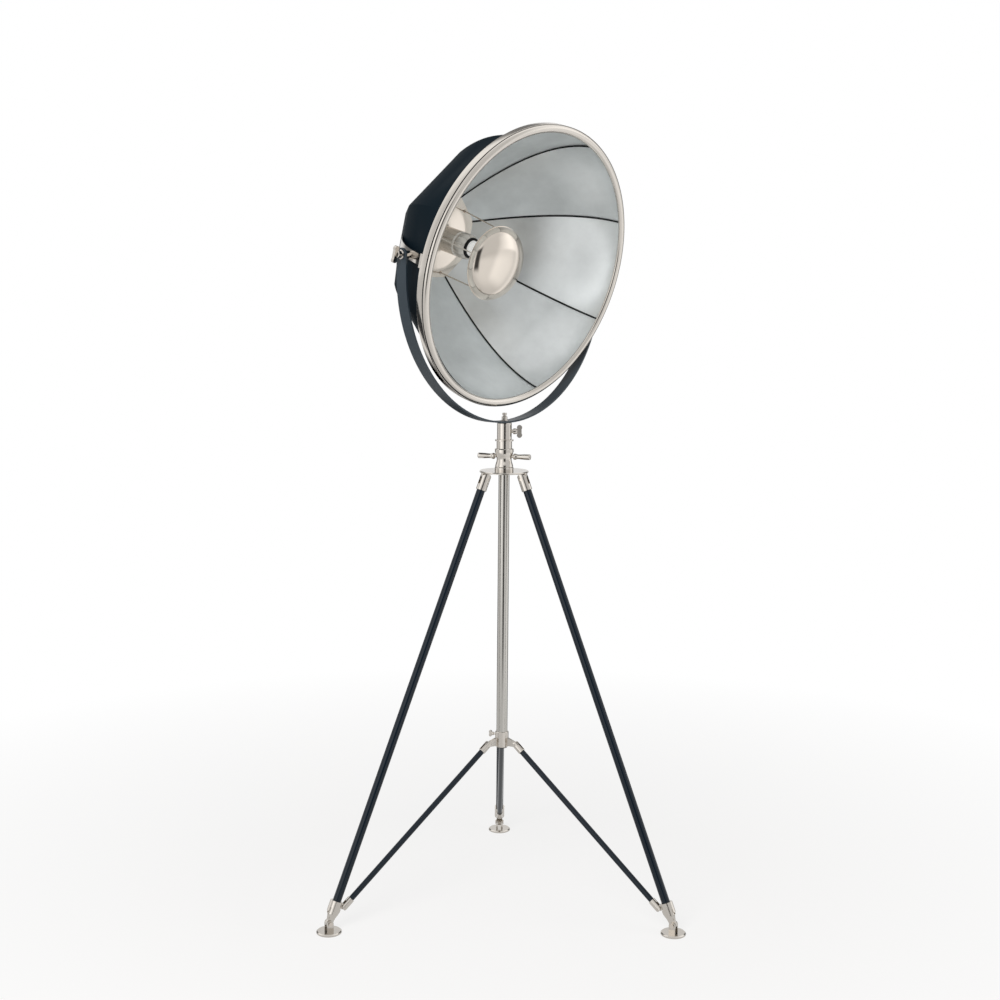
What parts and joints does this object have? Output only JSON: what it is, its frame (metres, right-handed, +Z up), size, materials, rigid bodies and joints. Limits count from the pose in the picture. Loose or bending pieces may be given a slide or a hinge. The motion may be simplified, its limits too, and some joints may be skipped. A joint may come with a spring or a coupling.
{
  "type": "tripod spotlight floor lamp",
  "caption": "Floor spotlight with a deep faceted bowl head tilting in a U-shaped yoke, on a clamped telescopic mast over a folding tripod with sliding stretcher hub and swivel feet",
  "frame": {"origin": "On the floor, under the column's axis", "axes": "+Z up along the column. At rest the head faces -Y, tilted 15.4 degrees down, and its tilt axis is parallel to X; left is -X"},
  "size_m": [0.7991, 0.7841, 1.7674],
  "materials": {
    "nickel": "warm satin nickel plate",
    "bright_nickel": "polished nickel plate",
    "satin_silver": "satin silver reflector sheet",
    "black_steel": "satin black paint on steel",
    "shell_black": "satin blue-black paint",
    "column_steel": "brushed steel tube",
    "lamp_white": "opal white lamp glass",
    "black_insulator": "matt black"
  },
  "bodies": {
    "stand": {"tripod_plate": "nickel", "column_tube": "column_steel", "column_plug": "black_insulator", "leg_hinge_pins": "bright_nickel", "clamp_base": "nickel", "clamp_collet": "black_insulator"},
    "clamp": {"clamp_nut": "nickel", "clamp_handles": "nickel"},
    "mast": {"mast_tube": "nickel", "mast_socket": "nickel"},
    "wing": {"wing_screw": "nickel"},
    "yoke": {"yoke_strap": "black_steel", "yoke_spigot": "nickel", "yoke_top_screw": "nickel"},
    "head": {"outer_shell": "shell_black", "rear_cap": "shell_black", "cable_gland": "black_insulator", "rim_ring": "nickel", "rim_band": "nickel", "rim_gasket": "black_insulator", "reflector_petals": "satin_silver", "seam_ribs": "black_insulator", "centre_plate": "bright_nickel", "lampholder": "nickel", "holder_ring": "black_insulator", "bulb": "lamp_white", "dome_mirror": "bright_nickel", "dome_rods": "bright_nickel", "pivot_bow_left": "nickel", "pivot_bow_right": "nickel", "pivot_studs": "bright_nickel", "pivot_washers": "black_insulator"},
    "knob_left": {"tilt_knob_left": "nickel"},
    "knob_right": {"tilt_knob_right": "nickel"},
    "hub": {"hub_collar": "nickel", "hub_pins": "bright_nickel"},
    "hub_thumb_screw": {"hub_screw": "nickel"},
    "leg_1": {"leg_tube_1": "black_steel", "leg_fork_1": "nickel", "leg_casting_1": "nickel", "foot_pin_1": "bright_nickel"},
    "strut_1": {"strut_tube_1": "black_steel", "strut_forks_1": "nickel"},
    "foot_1": {"foot_1": "nickel"},
    "leg_2": {"leg_tube_2": "black_steel", "leg_fork_2": "nickel", "leg_casting_2": "nickel", "foot_pin_2": "bright_nickel"},
    "strut_2": {"strut_tube_2": "black_steel", "strut_forks_2": "nickel"},
    "foot_2": {"foot_2": "nickel"},
    "leg_3": {"leg_tube_3": "black_steel", "leg_fork_3": "nickel", "leg_casting_3": "nickel", "foot_pin_3": "bright_nickel"},
    "strut_3": {"strut_tube_3": "black_steel", "strut_forks_3": "nickel"},
    "foot_3": {"foot_3": "nickel"}
  },
  "joints": [
    {"name": "clamp_turn", "type": "hinge", "parent": "stand", "child": "clamp", "pos_m": [0, 0, 1.0388], "axis": [0, 0, 1], "range_deg": [0, 90]},
    {"name": "mast_rise", "type": "slide", "parent": "stand", "child": "mast", "axis": [0, 0, 1], "range_m": [0, 0.35]},
    {"name": "wing_turn", "type": "hinge", "parent": "mast", "child": "wing", "pos_m": [0.01847, -0.02364, 1.09586], "axis": [0.6157, -0.788, 0], "range_deg": [0, 360]},
    {"name": "yoke_pan", "type": "hinge", "parent": "mast", "child": "yoke", "pos_m": [0, 0, 1.1], "axis": [0, 0, 1], "continuous": true},
    {"name": "head_tilt", "type": "hinge", "parent": "yoke", "child": "head", "pos_m": [0, 0, 1.484], "axis": [1, 0, 0], "range_deg": [-75, 70]},
    {"name": "knob_left_turn", "type": "hinge", "parent": "head", "child": "knob_left", "pos_m": [-0.335, 0, 1.484], "axis": [-1, 0, 0], "range_deg": [0, 360]},
    {"name": "knob_right_turn", "type": "hinge", "parent": "head", "child": "knob_right", "pos_m": [0.335, 0, 1.484], "axis": [1, 0, 0], "range_deg": [0, 360]},
    {"name": "leg_1_fold", "type": "hinge", "parent": "stand", "child": "leg_1", "pos_m": [0.03669, 0.03397, 0.99], "axis": [-0.6794, 0.7337, 0], "range_deg": [0, 15]},
    {"name": "leg_2_fold", "type": "hinge", "parent": "stand", "child": "leg_2", "pos_m": [-0.04776, 0.01478, 0.99], "axis": [-0.2957, -0.9553, 0], "range_deg": [0, 15]},
    {"name": "leg_3_fold", "type": "hinge", "parent": "stand", "child": "leg_3", "pos_m": [0.01108, -0.04876, 0.99], "axis": [0.9751, 0.2215, 0], "range_deg": [0, 15]},
    {"name": "hub_slide", "type": "slide", "parent": "stand", "child": "hub", "axis": [0, 0, 1], "range_m": [0, 0.0995]},
    {"name": "hub_screw_turn", "type": "hinge", "parent": "hub", "child": "hub_thumb_screw", "pos_m": [-0.00845, 0.01813, 0.39], "axis": [-0.4226, 0.9063, 0], "range_deg": [0, 360]},
    {"name": "strut_1_turn", "type": "hinge", "parent": "leg_1", "child": "strut_1", "pos_m": [0.29566, 0.27378, 0.05322], "axis": [-0.6794, 0.7337, 0], "range_deg": [0, 21.2]},
    {"name": "strut_2_turn", "type": "hinge", "parent": "leg_2", "child": "strut_2", "pos_m": [-0.38493, 0.11916, 0.05322], "axis": [-0.2957, -0.9553, 0], "range_deg": [0, 21.2]},
    {"name": "strut_3_turn", "type": "hinge", "parent": "leg_3", "child": "strut_3", "pos_m": [0.08927, -0.39294, 0.05322], "axis": [0.9751, 0.2215, 0], "range_deg": [0, 21.2]},
    {"name": "foot_1_swivel", "type": "hinge", "parent": "leg_1", "child": "foot_1", "pos_m": [0.32284, 0.29895, 0.022], "axis": [-0.6794, 0.7337, 0], "range_deg": [-25, 25]},
    {"name": "foot_2_swivel", "type": "hinge", "parent": "leg_2", "child": "foot_2", "pos_m": [-0.42032, 0.13011, 0.022], "axis": [-0.2957, -0.9553, 0], "range_deg": [-25, 25]},
    {"name": "foot_3_swivel", "type": "hinge", "parent": "leg_3", "child": "foot_3", "pos_m": [0.09748, -0.42907, 0.022], "axis": [0.9751, 0.2215, 0], "range_deg": [-25, 25]}
  ],
  "couplings": [
    {"joint": "leg_2_fold", "follows": "leg_1_fold", "ratio": 1},
    {"joint": "leg_3_fold", "follows": "leg_1_fold", "ratio": 1},
    {"joint": "hub_slide", "follows": "leg_1_fold", "m_per_rad": 0.37944},
    {"joint": "strut_1_turn", "follows": "leg_1_fold", "ratio": 1.4035},
    {"joint": "strut_2_turn", "follows": "leg_1_fold", "ratio": 1.4035},
    {"joint": "strut_3_turn", "follows": "leg_1_fold", "ratio": 1.4035}
  ]
}
